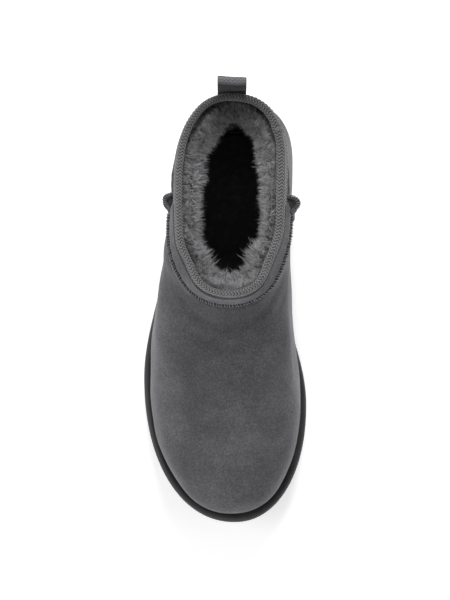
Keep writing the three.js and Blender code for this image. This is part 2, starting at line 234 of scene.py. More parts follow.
FLAT_BACK = 112  # the floor contact of the heel ends here


def smooth(x):
    x = np.clip(x, 0, 1)
    return x * x * (3 - 2 * x)


def bump_at(x, centre, width):
    """A soft bump of height 1, about twice this wide."""
    return np.exp(-(((x - centre) / width) ** 2))


def rim_z(y):
    """Height of the sole's top edge."""
    return RIM_HEIGHT + TOE_RISE * smooth((-60 - y) / 70) + HEEL_RISE * smooth(y / 120)


def bottom_z(y):
    """Height of the underside: flat at ball and heel, lifted at the toe, the arch and the back edge."""
    toe = np.clip((FLAT_FRONT - y) / (HALF_LENGTH + FLAT_FRONT), 0, 1)
    arch = np.clip((y - FLAT_ARCH[0]) / (FLAT_ARCH[1] - FLAT_ARCH[0]), 0, 1)
    heel = np.clip((y - FLAT_BACK) / (HALF_LENGTH - FLAT_BACK), 0, 1)
    return TOE_SPRING * toe**2 + ARCH_LIFT * np.sin(math.pi * arch) ** 2 + HEEL_BEVEL * heel**2


def row_at(t):
    """The upper's row at a fractional index, on a Catmull-Rom spline."""
    i = min(int(t), COLLAR - 1)
    f = t - i
    b, d = UPPER[i], UPPER[i + 1]
    a = UPPER[i - 1] if i > 0 else 2 * b - d
    e = UPPER[i + 2] if i < COLLAR - 1 else 2 * d - b
    return b + 0.5 * f * (d - a + f * (2 * a - 5 * b + 4 * d - e + f * (3 * (b - d) + e - a)))


def outline_side(row, side, pinch, count):
    """One side of an outline, evenly spaced from the middle of the back to the tip."""
    v = dict(zip(COLUMNS, row))
    heel_x, heel_y = v[f"heel_{side}_x"], v[f"heel_{side}_y"]
    ball_x, ball_y = v[f"ball_{side}_x"], v[f"ball_{side}_y"]
    quarter = np.linspace(0, math.pi / 2, 90)
    sin, cos = np.sin(quarter), np.clip(np.cos(quarter), 0, 1)
    round_heel = 2 / 2.35
    heel = (v["back_x"] + (heel_x - v["back_x"]) * sin**round_heel,
            heel_y + (v["back_y"] - heel_y) * cos**round_heel)
    m = np.linspace(0, 1, 90)
    waist_x = heel_x + (ball_x - heel_x) * smooth(m) + pinch[side] * v["pinch"] * np.sin(math.pi * m) ** 2
    waist = (waist_x, heel_y + (ball_y - heel_y) * m)
    power = 2 / v["nose"]
    toe = (v["tip_x"] + (ball_x - v["tip_x"]) * cos**power, ball_y + (v["tip_y"] - ball_y) * sin**power)
    x, y = (np.concatenate([heel[k], waist[k][1:], toe[k][1:]]) for k in (0, 1))
    length = np.concatenate([[0], np.cumsum(np.hypot(np.diff(x), np.diff(y)))])
    even = np.linspace(0, length[-1], count + 1)
    return np.stack([np.interp(even, length, x), np.interp(even, length, y)], axis=1)


def outline(row, pinch, count):
    """A closed outline: back, lateral side, tip, medial side."""
    lateral = outline_side(row, "lat", pinch, count // 2)
    medial = outline_side(row, "med", pinch, count // 2)[::-1]
    return np.concatenate([lateral, medial[1:-1]])


# %% [markdown]
# Soft relief makes the skin look worn in rather than turned on a lathe. Creases are placed where a
# boot bends: across the instep, at the ankle and over the ball. The seam pulls the skin in, and the skin
# swells beside it. These push along the surface's own normal, by a millimetre or two at most. The collar's
# front corners lean in further than that, by up to 3.8 mm and level, which the frame's solids don't do.

# %% The skin with its creases
ROWS = 420
ROUND = 1024


def waves(points, size_mm, seed, count=14):
    """A smooth random field from -1 to 1 with features of about this size."""
    rng = np.random.default_rng(seed)
    field = np.zeros(points.shape[:-1])
    for _ in range(count):
        direction = rng.normal(size=3)
        direction *= rng.uniform(0.6, 1.3) / np.linalg.norm(direction)
        field += np.sin(points @ direction * (math.pi / size_mm) + rng.uniform(0, 2 * math.pi))
    return field / math.sqrt(count)


def normals_of(grid):
    along = np.roll(grid, -1, axis=1) - np.roll(grid, 1, axis=1)
    up = np.gradient(grid, axis=0)
    normal = np.cross(along, up)
    return normal / np.maximum(np.linalg.norm(normal, axis=2, keepdims=True), 1e-9)


heights = np.linspace(0, COLLAR, ROWS)
skin = np.zeros((ROWS, ROUND, 3))
for r, t in enumerate(heights):
    row = row_at(t)
    v = dict(zip(COLUMNS, row))
    skin[r, :, :2] = outline(row, UPPER_PINCH, ROUND)
    along = np.clip((skin[r, :, 1] - v["tip_y"]) / (v["back_y"] - v["tip_y"]), 0, 1)
    skin[r, :, 2] = rim_z(skin[r, :, 1]) + v["tip_lift"] + (v["back_lift"] - v["tip_lift"]) * along

# Each crease: height and place round the boot (0.5 is the tip), depth, half-height, half-length, slant.
SEAM_HEIGHT = 8.95
CREASES = [
    # height, round, depth, half-height, half-length, slant
    (7.55, 0.500, 0.75, 0.30, 0.110, 1.2),
    (6.75, 0.490, 0.50, 0.28, 0.120, -0.9),
    (5.70, 0.515, 0.40, 0.35, 0.100, 0.8),
    (7.00, 0.330, 0.70, 0.35, 0.050, 14.0),
    (6.10, 0.300, 0.55, 0.35, 0.045, 16.0),
    (7.10, 0.670, 0.70, 0.35, 0.050, -14.0),
    (6.20, 0.705, 0.55, 0.35, 0.045, -16.0),
    (5.20, 0.100, 0.60, 0.50, 0.040, 10.0),
    (5.40, 0.905, 0.60, 0.50, 0.040, -10.0),
    (4.10, 0.420, 0.35, 0.45, 0.040, 8.0),
    (4.20, 0.590, 0.35, 0.45, 0.040, -9.0),
]


def seam_line(s):
    """Height of the collar seam round the boot. It dips a little over the instep."""
    return SEAM_HEIGHT - 0.14 * bump_at(s, 0.5, 0.1)


T, S = np.meshgrid(heights, np.arange(ROUND) / ROUND, indexing="ij")
relief = 0.55 * waves(skin, 34, 1) * smooth(T / 1.5) + 0.22 * waves(skin, 13, 2) * smooth(T / 1.0)
for height, place, depth, half_height, half_length, slant in CREASES:
    line = height + slant * (S - place)
    trough = bump_at(T, line, half_height) - 0.55 * bump_at(T, line + 1.7 * half_height, half_height)
    relief -= depth * trough * bump_at(S, place, half_length)
in_front = smooth((np.minimum(S, 1 - S) - 0.17) / 0.03)
relief += in_front * (0.7 * bump_at(T, seam_line(S) - 0.42, 0.26) - 1.1 * bump_at(T, seam_line(S), 0.11))
gathers = np.sin(2 * math.pi * 62 * S + 2.5 * waves(skin, 30, 3))
relief += 0.13 * gathers * in_front * bump_at(T, seam_line(S) - 0.2, 0.25)
relief += 0.16 * np.sin(2 * math.pi * 70 * S + 2 * waves(skin, 25, 4)) * bump_at(T, 0.25, 0.35)
relief *= smooth((COLLAR - 0.25 - T) / 0.5)
skin += normals_of(skin) * relief[..., None]

# The collar leans in where its sides turn into the front.
LEANS = [
    # side, y, inwards, half-length round the boot
    ("lat", 17, 2.4, 0.040),
    ("med", 19, 3.8, 0.048),
]
rim_y = skin[-1, :, 1]
lean = np.zeros(ROUND)
for side, y, inwards, half_length in LEANS:
    half = np.arange(ROUND // 2) if side == "lat" else np.arange(ROUND // 2, ROUND)
    place = half[np.argmin(abs(rim_y[half] - y))] / ROUND
    lean += inwards * bump_at(S[0], place, half_length)
level_normals = normals_of(skin) * [1, 1, 0]
skin -= level_normals * (lean * smooth((T - 8.9) / 1.1))[..., None]
skin_normals = normals_of(skin)
print(f"skin: {ROWS} by {ROUND} points, relief {relief.min():.2f} to {relief.max():.2f} mm")


def on_skin(t, s, out=0.0):
    """Points at heights t and places round s, pushed out from the skin, and the normals there."""
    t, s, out = np.broadcast_arrays(np.asarray(t, float), np.asarray(s, float), np.asarray(out, float))
    row = np.clip(t / COLLAR, 0, 1) * (ROWS - 1)
    col = (s % 1) * ROUND
    r0 = np.minimum(row.astype(int), ROWS - 2)
    c0 = col.astype(int) % ROUND
    c1 = (c0 + 1) % ROUND
    fr = (row - r0)[..., None]
    fc = (col - np.floor(col))[..., None]

    def mix(grid):
        low = grid[r0, c0] * (1 - fc) + grid[r0, c1] * fc
        high = grid[r0 + 1, c0] * (1 - fc) + grid[r0 + 1, c1] * fc
        return low * (1 - fr) + high * fr

    normal = mix(skin_normals)
    normal /= np.linalg.norm(normal, axis=-1, keepdims=True)
    return mix(skin) + normal * out[..., None], normal


def place_at_y(t, y, side):
    """How far round the boot the skin crosses a given Y, at height t on one side."""
    points, _ = on_skin(t, np.arange(ROUND) / ROUND)
    half_round = ROUND // 2
    y_lateral = points[: half_round + 1, 1]
    y_medial = points[(-np.arange(half_round + 1)) % ROUND, 1]
    s = np.linspace(0, 0.5, half_round + 1)
    found = np.interp(-y, -(y_lateral if side == "lat" else y_medial), s)
    return found if side == "lat" else 1 - found


# %% [markdown]
# Meshes are built from grids of points: rows lofted one to the next. A grid that closes both ways is a wall
# with no open edge. Lengths along the grid go into a UV map in millimetres, so a weave has its real size.

# %% Helpers for meshes
def piece(name, points, faces, material, replaced=(), uv=None, smooth_faces=True):
    """A mesh object from points in millimetres. It rides on the boot and takes its finish from a slot."""
    mesh = bpy.data.meshes.new(name)
    faces = np.asarray(faces, dtype=np.int32)
    sides = faces.shape[1]
    mesh.vertices.add(len(points))
    mesh.vertices.foreach_set("co", (np.asarray(points, dtype=np.float64) * MM).astype(np.float32).ravel())
    mesh.loops.add(faces.size)
    mesh.loops.foreach_set("vertex_index", faces.ravel())
    mesh.polygons.add(len(faces))
    mesh.polygons.foreach_set("loop_start", np.arange(0, faces.size, sides, dtype=np.int32))
    mesh.polygons.foreach_set("use_smooth", np.full(len(faces), smooth_faces))
    mesh.update(calc_edges=True)
    if uv is not None:
        layer = mesh.uv_layers.new(name="cloth")
        layer.data.foreach_set("uv", np.asarray(uv, dtype=np.float32).reshape(-1, 2)[faces.ravel()].ravel())
    mesh.validate()
    mesh.materials.append(material)
    made = bpy.data.objects.new(name, mesh)
    bpy.context.scene.collection.objects.link(made)
    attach(made, BODY)
    if replaced:
        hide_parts(*replaced)
    print(f"{name}: {len(points)} points, {len(faces)} faces")
    return made


def grid_faces(rows, cols, close_rows=False, close_cols=True):
    """Quads of a grid whose rows are rings, facing out when the rings turn anticlockwise and rows go up."""
    r = np.arange(rows if close_rows else rows - 1)
    c = np.arange(cols if close_cols else cols - 1)
    R, C = np.meshgrid(r, c, indexing="ij")
    R1, C1 = (R + 1) % rows, (C + 1) % cols
    quads = np.stack([R * cols + C, R * cols + C1, R1 * cols + C1, R1 * cols + C], axis=-1)
    return quads.reshape(-1, 4)


def capped(grid, faces):
    """Closes the first and the last column of an open strip, with quads from one side to the other."""
    rows, cols = grid.shape[:2]
    points = grid.reshape(-1, 3)
    ends = []
    for col, turn in ((0, 1), (cols - 1, -1)):
        ring = np.arange(rows) * cols + col
        pairs = np.stack([ring[: rows // 2 - 1], ring[1 : rows // 2],
                          ring[::-1][1 : rows // 2], ring[::-1][: rows // 2 - 1]], axis=1)
        ends.append(pairs[:, ::turn])
    return points, np.concatenate([faces, *ends])


# %% [markdown]
# ## Suede
# The outside of a sheepskin is sanded to a nap of very short fibres. They scatter light, so the surface is
# matt, brighter where it turns away, and it holds light and dark patches where a hand has brushed it. Three
# noises do this: nap grain, brushed patches and a slow drift in the dye. Sheen gives the bright edges.

# %% Suede material
def suede(name, dark, middle, light, sheen, gradient):
    """Napped sheepskin: matt, with a fine grain and brushed patches.

    The real grain is finer than half a millimetre. It is drawn at about 1 mm, so that it shows.
    """
    material, tree, shader = new_material(name)
    place = node(tree, "ShaderNodeTexCoord").outputs["Object"]
    patches = node(tree, "ShaderNodeTexNoise", {"Vector": place},
                   {"Scale": grains(26), "Detail": 4, "Roughness": 0.6})
    streak_space = node(tree, "ShaderNodeMapping", {"Vector": place}, {"Scale": (1, 0.35, 1)})
    streaks = node(tree, "ShaderNodeTexNoise", {"Vector": streak_space.outputs[0]},
                   {"Scale": grains(5), "Detail": 5, "Roughness": 0.65, "Distortion": 0.6})
    nap = node(tree, "ShaderNodeTexNoise", {"Vector": place},
               {"Scale": grains(1.1), "Detail": 6, "Roughness": 0.75})
    brushed = node(tree, "ShaderNodeMix", {"A": patches.outputs["Fac"], "B": streaks.outputs["Fac"]},
                   {"Factor": 0.28})
    grained = node(tree, "ShaderNodeMix", {"A": brushed.outputs[0], "B": nap.outputs["Fac"]}, {"Factor": 0.6})
    dye = node(tree, "ShaderNodeValToRGB", {"Fac": grained.outputs[0]},
               stops=[(0.38, dark), (0.5, middle), (0.62, light)])
    # The gradient darkens the dye along one axis of the object; on the main suede this is painted shade.
    tree.links.new(shaded_along(tree, dye.outputs["Color"], *gradient), shader.inputs["Base Color"])
    pile = node(tree, "ShaderNodeBump", {"Height": nap.outputs["Fac"]},
                {"Strength": 0.75, "Distance": 0.25 * MM})
    lie = node(tree, "ShaderNodeBump", {"Height": streaks.outputs["Fac"], "Normal": pile.outputs[0]},
               {"Strength": 0.35, "Distance": 0.5 * MM})
    tree.links.new(lie.outputs[0], shader.inputs["Normal"])
    shader.inputs["Roughness"].default_value = 0.95
    shader.inputs["IOR"].default_value = 1.5
    shader.inputs["Specular IOR Level"].default_value = 0.15
    shader.inputs["Sheen Weight"].default_value = sheen
    shader.inputs["Sheen Roughness"].default_value = 0.45
    shader.inputs["Sheen Tint"].default_value = linear("d9d9db")
    return material


# The suede's colour darkens a little towards the ankle. This is painted shade, and a choice of look.
SUEDE = suede("napped_suede", "3e3d40", "535255", "6a696c", 0.28, ("Z", 45, 108, 1.1, 0.74))
PANEL_SUEDE = suede("napped_suede_collar", "3f3e41", "555457", "6b6a6d", 0.28, ("Y", 0, 50, 1.0, 0.9))

# %% [markdown]
# ## The upper
# The suede is one closed shell of leather thickness, open at the collar and underneath. Its outer rows are
# dense, because the light shows every crease there. The inner rows are few, because fleece covers them.

# %% Suede shell
SHELL_ROUND = 384
shell_s = np.arange(SHELL_ROUND) / SHELL_ROUND
outer_t = np.concatenate([
    np.linspace(0, 1, 18)[:-1],
    np.linspace(1, 8.5, 78)[:-1],
    np.linspace(8.5, COLLAR, 30),
])
inner_t = np.linspace(COLLAR, 0, 10)
outer_points, _ = on_skin(outer_t[:, None], shell_s[None])
inner_points, _ = on_skin(inner_t[:, None], shell_s[None], -LEATHER)
shell = np.concatenate([outer_points, inner_points])
piece("suede_upper", shell.reshape(-1, 3), grid_faces(*shell.shape[:2], close_rows=True), SUEDE,
      ("upper",))

# %% [markdown]
# ## Collar panel
# A narrow band of the same suede runs round the front, between the binding and the turned-out seam. It is
# padded by the fleece behind it, so it stands a little proud and rolls over at its lower edge.

# %% Collar panel
SIDE_SEAM_Y = 56
LATERAL_SEAM = float(place_at_y(SEAM_HEIGHT, SIDE_SEAM_Y, "lat"))
MEDIAL_SEAM = float(place_at_y(SEAM_HEIGHT, SIDE_SEAM_Y, "med"))
PANEL = {"above_seam": 0.09, "high": 9.8, "proud": 1.7}
panel_cols = 360
panel_s = np.linspace(LATERAL_SEAM + 0.004, MEDIAL_SEAM - 0.004, panel_cols)
face_u = np.linspace(0, 1, 15)
panel_low = seam_line(panel_s) + PANEL["above_seam"]
panel_t = panel_low + (PANEL["high"] - panel_low) * face_u[:, None]
roll = np.sqrt(np.clip(1 - (2 * np.clip(face_u, 0, 0.5) - 1) ** 4, 0, 1))
thin_at_ends = smooth((panel_s - panel_s[0]) / 0.012) * smooth((panel_s[-1] - panel_s) / 0.012)
pucker = 1 + 0.10 * np.sin(2 * math.pi * 48 * panel_s) * (1 - face_u[:, None])
front_out = 0.25 + PANEL["proud"] * roll[:, None] * (0.35 + 0.65 * thin_at_ends) * pucker
front_face, _ = on_skin(panel_t, panel_s[None], front_out)
back_face, _ = on_skin(panel_t[::-1], panel_s[None], 0.12)
panel_points, panel_faces = capped(np.concatenate([front_face, back_face]),
                                   grid_faces(2 * len(face_u), panel_cols, close_rows=True, close_cols=False))
piece("collar_panel", panel_points, panel_faces, PANEL_SUEDE)

# %% [markdown]
# ## Turned-out seams
# The panels are sewn with their cut edges outwards: two layers of leather stand up together as a rib, and an
# overlock thread wraps over them, loop after loop. The rib is a swept section with a groove between the two
# edges, and each loop is a small bent tube of its own, so it catches light and casts shade like real thread.

# %% Materials for edges and thread
def cut_edge(name, dark, light):
    """Cut leather edges, dyed dark and slightly furry."""
    material, tree, shader = new_material(name)
    place = node(tree, "ShaderNodeTexCoord").outputs["Object"]
    fuzz = node(tree, "ShaderNodeTexNoise", {"Vector": place},
                {"Scale": grains(0.6), "Detail": 5, "Roughness": 0.7})
    dye = node(tree, "ShaderNodeValToRGB", {"Fac": fuzz.outputs["Fac"]},
               stops=[(0.35, dark), (0.65, light)])
    tree.links.new(dye.outputs["Color"], shader.inputs["Base Color"])
    rough = node(tree, "ShaderNodeBump", {"Height": fuzz.outputs["Fac"]},
                 {"Strength": 0.6, "Distance": 0.3 * MM})
    tree.links.new(rough.outputs[0], shader.inputs["Normal"])
    shader.inputs["Roughness"].default_value = 0.9
    shader.inputs["Sheen Weight"].default_value = 0.15
    return material


def spun_thread(name, dark, light):
    """Spun polyester thread: two plies twisted, with a soft shine along them."""
    material, tree, shader = new_material(name)
    place = node(tree, "ShaderNodeTexCoord").outputs["Object"]
    twist = node(tree, "ShaderNodeTexNoise", {"Vector": place}, {"Scale": grains(0.4), "Detail": 2})
    dye = node(tree, "ShaderNodeValToRGB", {"Fac": twist.outputs["Fac"]},
               stops=[(0.35, dark), (0.65, light)])
    tree.links.new(dye.outputs["Color"], shader.inputs["Base Color"])
    ply = node(tree, "ShaderNodeBump", {"Height": twist.outputs["Fac"]},
               {"Strength": 0.5, "Distance": 0.1 * MM})
    tree.links.new(ply.outputs[0], shader.inputs["Normal"])
    shader.inputs["Roughness"].default_value = 0.6
    shader.inputs["IOR"].default_value = 1.5
    shader.inputs["Sheen Weight"].default_value = 0.2
    return material


EDGE = cut_edge("cut_leather_edge", "1d1d1f", "313133")
THREAD = spun_thread("spun_polyester_thread", "4e4e52", "808084")


# %% Helpers for ribs and threads
def frames_along(points, normals):
    """Unit tangents, side directions and true normals along a path."""
    tangent = np.gradient(points, axis=0)
    tangent /= np.linalg.norm(tangent, axis=1, keepdims=True)
    side = np.cross(tangent, normals)
    side /= np.linalg.norm(side, axis=1, keepdims=True)
    return tangent, side, np.cross(side, tangent)


def tubes(paths, radius, sides=6):
    """Many closed thread tubes as one mesh. paths is (threads, points, 3). Ends shrink to a small round."""
    count, steps, _ = paths.shape
    tangent = np.gradient(paths, axis=1)
    tangent /= np.linalg.norm(tangent, axis=2, keepdims=True)
    helper = np.where(np.abs(tangent[..., 2:3]) > 0.9, [[[1.0, 0, 0]]], [[[0, 0, 1.0]]])
    across = np.cross(tangent, helper)
    across /= np.linalg.norm(across, axis=2, keepdims=True)
    over = np.cross(tangent, across)
    angle = np.arange(sides) * 2 * math.pi / sides
    taper = np.ones(steps)
    taper[[0, -1]] = 0.45
    offset = np.cos(angle)[:, None] * across[:, :, None] + np.sin(angle)[:, None] * over[:, :, None]
    rings = paths[:, :, None] + offset * (radius * taper)[None, :, None, None]
    points = rings.reshape(-1, 3)
    body = grid_faces(steps, sides)
    faces = (body[None] + (np.arange(count) * steps * sides)[:, None, None]).reshape(-1, 4)
    caps = []
    for ring, turn in ((0, -1), (steps - 1, 1)):
        base = np.arange(count)[:, None] * steps * sides + ring * sides
        for quad in ((0, 1, 2, 3), (0, 3, 4, 5)):
            caps.append((base + np.array(quad)[::turn]))
    return points, np.concatenate([faces, *caps])


RIB_HALF = 1.3
STITCH_PITCH = 1.5
RIB_PROFILE = [
    # across, height
    (1.0, 0.0), (1.05, 0.35), (1.0, 0.75), (0.75, 0.97), (0.4, 0.97), (0.08, 0.72),
    (-0.08, 0.72), (-0.4, 0.97), (-0.75, 0.97), (-1.0, 0.75), (-1.05, 0.35), (-1.0, 0.0),
]


def at_length(length, places, values):
    """Rows of values read at places along a path of this length."""
    return np.stack([np.interp(places, length, values[:, k]) for k in range(values.shape[1])], axis=1)


def overlock(name, points, side, up, height, seed):
    """Overlock loops over a rib: each is a bent tube from one flank, across the edge, to the other."""
    length = np.concatenate([[0], np.cumsum(np.linalg.norm(np.diff(points, axis=0), axis=1))])
    loops = int(length[-1] / STITCH_PITCH)
    rng = np.random.default_rng(seed)
    centre = (np.arange(loops) + 0.5) * length[-1] / loops
    paths = []
    for a in np.linspace(-1, 1, 9):
        at = np.clip(centre + STITCH_PITCH * 0.42 * a + rng.normal(0, 0.06, loops), 0, length[-1])
        tall = np.interp(at, length, height)
        bow = 0.22 + 0.84 * max(0.0, math.cos(a * math.pi / 2)) ** 0.4
        width = math.sin(a * math.pi / 2)
        wide = math.copysign(abs(width) ** 0.6, width) * (RIB_HALF + 0.24)
        lifted = at_length(length, at, up) * (0.1 + tall * bow)[:, None]
        paths.append(at_length(length, at, points) + at_length(length, at, side) * wide + lifted)
    tube_points, tube_faces = tubes(np.stack(paths, axis=1), 0.25)
    piece(name, tube_points, tube_faces, THREAD)


def seam_rib(name, replaced, points, normals, height):
    """A rib of two cut edges along a path, and the overlock loops over it."""
    _, side, up = frames_along(points, normals)
    length = np.concatenate([[0], np.cumsum(np.linalg.norm(np.diff(points, axis=0), axis=1))])
    squeeze = 1 - 0.10 * np.cos(2 * math.pi * length / STITCH_PITCH) ** 2
    wander = 0.25 * waves(points, 14, 21)
    rows = []
    for across, rise in RIB_PROFILE:
        shift = (across * RIB_HALF * squeeze + wander * rise)[:, None] * side
        rows.append(points + shift + (0.1 + rise * height * squeeze)[:, None] * up)
    rib_faces = grid_faces(len(rows), len(points), close_rows=True, close_cols=False)
    grid, faces = capped(np.stack(rows), rib_faces)
    piece(name, grid, faces, EDGE, replaced)
    overlock(name + "_overlock", points + wander[:, None] * side, side, up, height, 5)


# %% Collar seam and side seams
seam_steps = 520
seam_s = np.linspace(LATERAL_SEAM + 0.022, MEDIAL_SEAM - 0.022, seam_steps)
seam_points, seam_normals = on_skin(seam_line(seam_s), seam_s)
seam_height = 3.6 - 1.3 * bump_at(seam_s, 0.5, 0.09)
seam_rib("collar_seam_rib", ("collar_seam",), seam_points, seam_normals, seam_height)

side_steps = 260
for side, node_name in (("lat", "side_seam_lateral"), ("med", "side_seam_medial")):
    side_t = np.linspace(0.12, 9.0, side_steps)
    side_s = np.array([place_at_y(t, SIDE_SEAM_Y, side) for t in side_t])
    points, normals = on_skin(side_t, side_s)
    side_height = 2.4 + 1.2 * smooth((side_t - 8.0) / 1.0)
    seam_rib(node_name + "_rib", (node_name,), points, normals, side_height)

# %% [markdown]
# Where the collar seam meets a side seam, four thicknesses of sheepskin are caught in one stitch. Their ends
# stand out as a soft ear: a fat roll bent into an arc, overlocked round its outer edge, with a core behind.

# %% Seam ears
EARS = [
    # side, reach outwards, half-length, roll radius, tilt up, shift towards the heel
    ("lat", 4.9, 4.7, 1.75, 0.6, 0.0),
    ("med", 5.8, 4.8, 1.9, 1.4, -1.5),
]
EAR_HEIGHT = 9.12
for side, reach, half_length, roll, tilt, shift in EARS:
    centre, out_way = on_skin(EAR_HEIGHT, place_at_y(EAR_HEIGHT, SIDE_SEAM_Y + shift, side))
    out_way = out_way * [1, 1, 0] / np.linalg.norm(out_way[:2])
    along = np.array([0, 1.0, 0])
    turn = np.linspace(-0.62, 0.62, 72) * math.pi
    lobes = 1 + 0.12 * np.sin(3.1 * turn + 0.8) - 0.12 * np.sin(turn)
    arc_out = (np.cos(turn) - 0.15) * reach * lobes
    arc_along = np.sin(turn) * half_length * lobes
    rise = tilt * np.cos(turn) + 0.5 * np.sin(2 * turn)
    spine = centre + arc_out[:, None] * out_way + arc_along[:, None] * along + rise[:, None] * [0, 0, 1]
    tangent, sideways, upwards = frames_along(spine, np.tile([0, 0, 1.0], (len(spine), 1)))
    around = np.arange(14) * 2 * math.pi / 14
    lumpy = roll * (1 + 0.16 * waves(spine, 2.6, 61))
    rows = [spine + (lumpy * math.cos(a))[:, None] * sideways + (lumpy * math.sin(a))[:, None] * upwards
            for a in around]
    grid, faces = capped(np.stack(rows), grid_faces(len(rows), len(spine), close_rows=True, close_cols=False))
    piece(f"seam_ear_{side}", grid, faces, EDGE)

    core_rows = np.linspace(0.02, 0.98, 18) * math.pi
    core_round = np.arange(36) / 36 * 2 * math.pi
    core_u, core_v = np.meshgrid(core_rows, core_round, indexing="ij")
    ring = np.sin(core_u)
    core = np.stack([ring * np.cos(core_v), ring * np.sin(core_v), -np.cos(core_u)], axis=2)
    core *= 1 + 0.07 * waves(core, 0.5, 62)[..., None]
    core_points = centre + core[..., :1] * (reach * 0.95) * out_way
    core_points = core_points + core[..., 1:2] * (half_length * 0.9) * along
    core_points = core_points + (core[..., 2:] * 2.2 + tilt * 0.4 - 0.6) * [0, 0, 1]
    if np.cross(out_way, along)[2] < 0:
        core_points = core_points[:, ::-1]
    core_faces = grid_faces(*core_points.shape[:2])
    ends = [tuple(range(36))[::-1], tuple(range(17 * 36, 18 * 36))]
    for end in ends:
        cap = [(end[i], end[i + 1], end[-2 - i], end[-1 - i]) for i in range(17)]
        core_faces = np.concatenate([core_faces, cap])
    piece(f"seam_ear_core_{side}", core_points.reshape(-1, 3), core_faces, EDGE)

    outward = np.where((sideways @ out_way > 0)[:, None], sideways, -sideways)
    wraps = []
    wrap_at = np.linspace(3, len(spine) - 4, int(len(spine) / 3.4)).astype(int)
    for a in np.linspace(-0.62, 0.62, 8) * math.pi:
        spoke = math.cos(a) * outward[wrap_at] + math.sin(a) * upwards[wrap_at]
        wraps.append(spine[wrap_at] + spoke * (roll + 0.2) + tangent[wrap_at] * (0.5 * a / math.pi))
    tube_points, tube_faces = tubes(np.stack(wraps, axis=1), 0.25)
    piece(f"seam_ear_overlock_{side}", tube_points, tube_faces, THREAD)

# %% [markdown]
# ## Binding tape
# The collar's raw edge is wrapped in herringbone tape, folded over it and sewn through. A herringbone is a
# twill whose diagonal turns back at every column, so the bump is a sine of the length plus a zigzag of the
# width, both in millimetres from the UV map. The fold is a lofted section that follows the collar round.

# %% Woven materials
def herringbone(name, dark, light, rib_mm, column_mm, sheen, gradient):
    """Woven tape: diagonal ribs of light yarn over dark that change direction at every column.

    The real ribs are about 1 mm apart. They are drawn coarser, so that they show from the camera.
    """
    material, tree, shader = new_material(name)
    uv = node(tree, "ShaderNodeUVMap", uv_map="cloth").outputs[0]
    split = node(tree, "ShaderNodeSeparateXYZ", {"Vector": uv})
    zigzag = node(tree, "ShaderNodeMath", {0: split.outputs["Y"]}, {1: column_mm}, operation="PINGPONG")
    diagonal = node(tree, "ShaderNodeMath", {0: split.outputs["X"], 1: zigzag.outputs[0]}, operation="ADD")
    turns = node(tree, "ShaderNodeMath", {0: diagonal.outputs[0]}, {1: 2 * math.pi / rib_mm},
                 operation="MULTIPLY")
    rib = node(tree, "ShaderNodeMath", {0: turns.outputs[0]}, operation="SINE")
    height = node(tree, "ShaderNodeMapRange", {"Value": rib.outputs[0]}, {"From Min": -1, "From Max": 1})
    place = node(tree, "ShaderNodeTexCoord").outputs["Object"]
    wear = node(tree, "ShaderNodeTexNoise", {"Vector": place}, {"Scale": grains(5), "Detail": 4})
    fuzz = node(tree, "ShaderNodeTexNoise", {"Vector": place}, {"Scale": grains(0.9), "Detail": 5})
    worn = node(tree, "ShaderNodeMix", {"A": height.outputs[0], "B": wear.outputs["Fac"]}, {"Factor": 0.3})
    soft = node(tree, "ShaderNodeMix", {"A": worn.outputs[0], "B": fuzz.outputs["Fac"]}, {"Factor": 0.42})
    dye = node(tree, "ShaderNodeValToRGB", {"Fac": soft.outputs[0]}, stops=[(0.28, dark), (0.7, light)])
    # The gradient paints shade into the dye, and on the loop's fold a painted highlight.
    tree.links.new(shaded_along(tree, dye.outputs["Color"], *gradient), shader.inputs["Base Color"])
    weave = node(tree, "ShaderNodeBump", {"Height": height.outputs[0]},
                 {"Strength": 0.9, "Distance": 0.35 * MM})
    fibres = node(tree, "ShaderNodeBump", {"Height": fuzz.outputs["Fac"], "Normal": weave.outputs[0]},
                  {"Strength": 0.3, "Distance": 0.15 * MM})
    tree.links.new(fibres.outputs[0], shader.inputs["Normal"])
    shader.inputs["Roughness"].default_value = 0.85
    shader.inputs["IOR"].default_value = 1.5
    shader.inputs["Specular IOR Level"].default_value = 0.2
    shader.inputs["Sheen Weight"].default_value = sheen
    return material


# The tape's colour darkens towards the heel: painted shade. The loop's fold is far paler than its legs: a
# painted highlight on the fold and painted shade on the legs. Both are choices of look.
TAPE = herringbone("herringbone_tape", "2e2e2f", "7f7f80", 1.85, 1.4, 0.3, ("Y", 70, 120, 1.0, 0.42))
WEBBING = herringbone("loop_webbing", "28282a", "3f3f41", 1.6, 1.2, 0.12, ("Z", 145.5, 148.5, 0.3, 4.4))

# %% Collar binding
TAPE_THICK = 0.9
OUTER_LEG_LOW = 9.66
INNER_LEG_LOW = 9.74
FOLD_RISE = 2.0
JOIN_Y = 95
band_round = 640
band_s = np.arange(band_round) / band_round
join_s = float(place_at_y(COLLAR, JOIN_Y, "med"))
edge_out, edge_normal = on_skin(COLLAR, band_s)
flat_normal = edge_normal * [1, 1, 0]
flat_normal /= np.linalg.norm(flat_normal, axis=1, keepdims=True)
edge_in = edge_out - edge_normal * LEATHER
middle = (edge_out + edge_in) / 2
